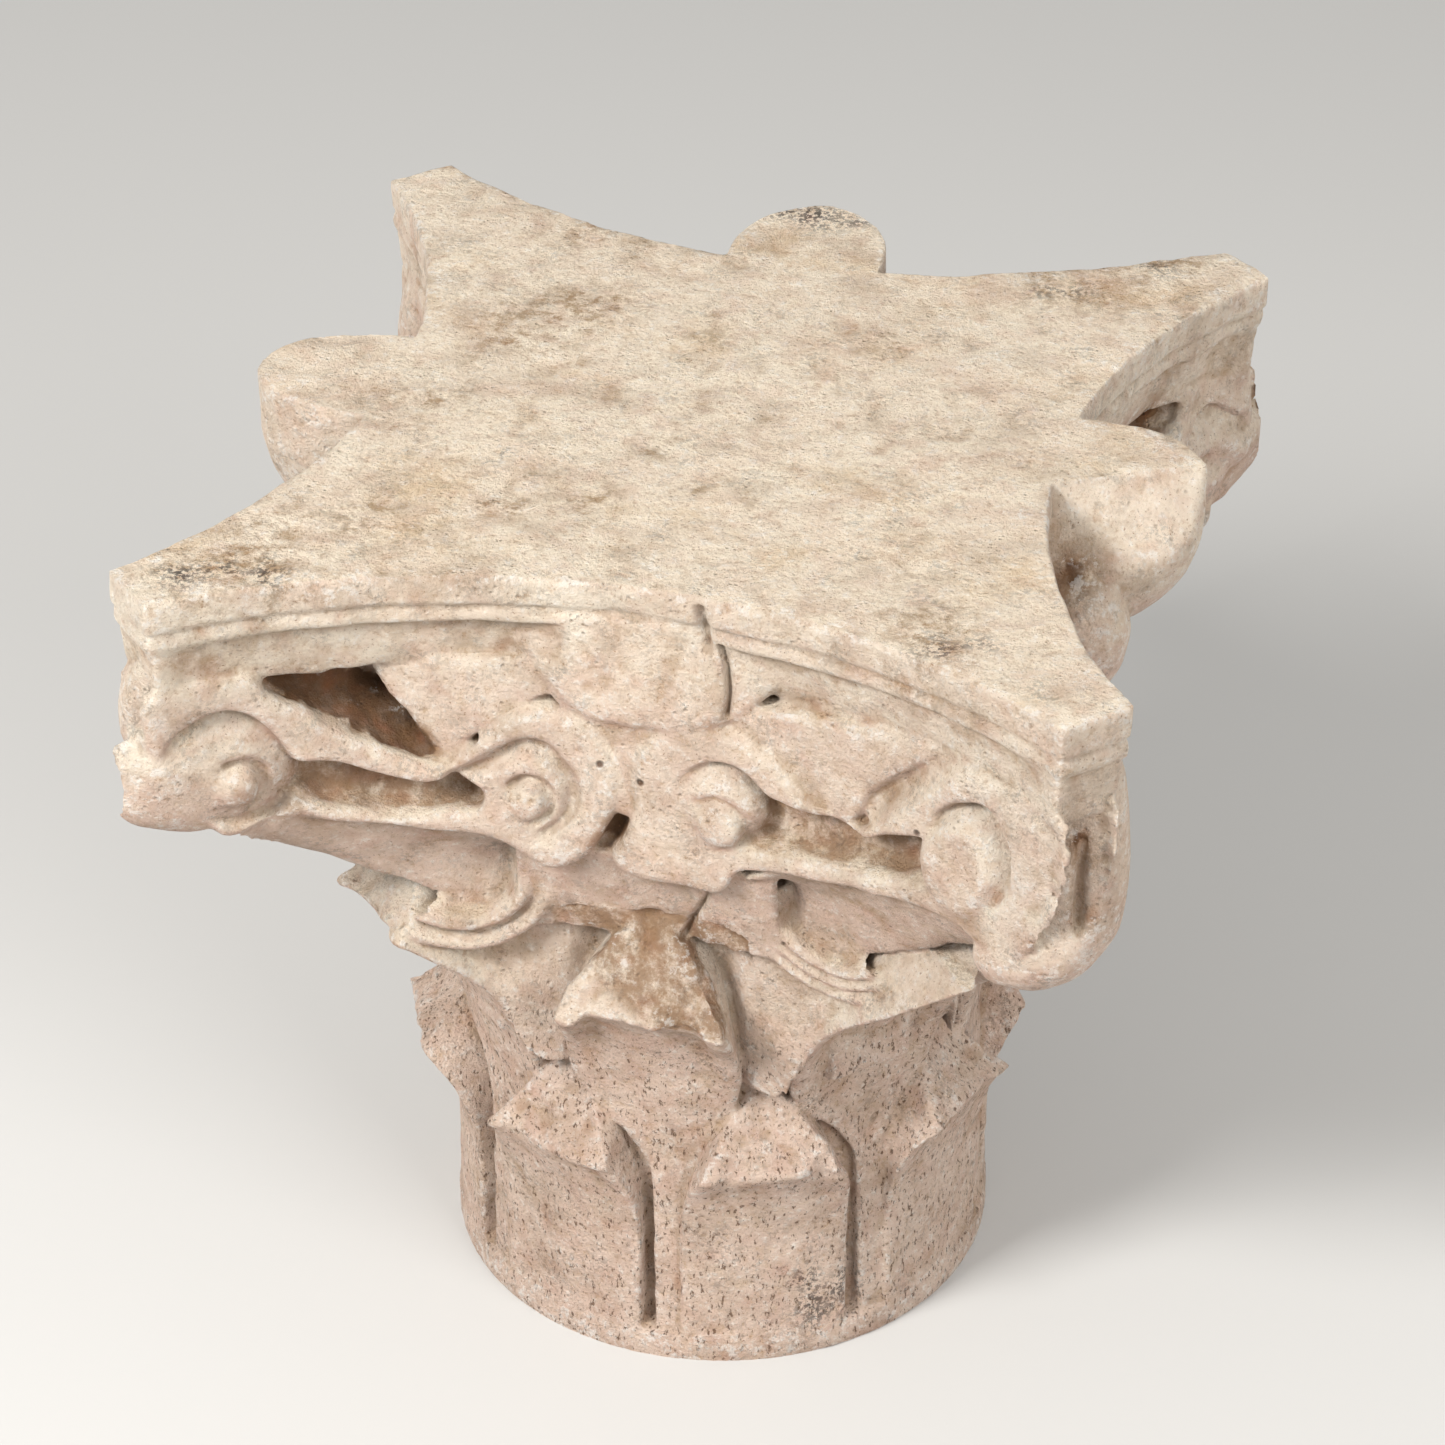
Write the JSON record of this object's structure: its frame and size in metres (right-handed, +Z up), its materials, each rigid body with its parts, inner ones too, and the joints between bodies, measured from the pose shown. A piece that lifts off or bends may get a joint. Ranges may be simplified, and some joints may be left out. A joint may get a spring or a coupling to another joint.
{
  "type": "corinthian capital",
  "caption": "Weathered carved limestone Corinthian capital: hollow-sided abacus, corner volutes and inner helices over two tiers of plain water leaves on a round drum; bears on a column shaft.",
  "frame": {"origin": "Centre of the bed face, on the column's axis", "axes": "+Z up along the column's axis; -Y is the front face, the one that has lost its boss; +X is to the right of somebody looking at the front"},
  "size_m": [0.5232, 0.5232, 0.53],
  "materials": {
    "limestone": "weathered carved limestone, matt"
  },
  "bodies": {
    "root": {"corinthian_capital": "limestone"}
  },
  "joints": []
}
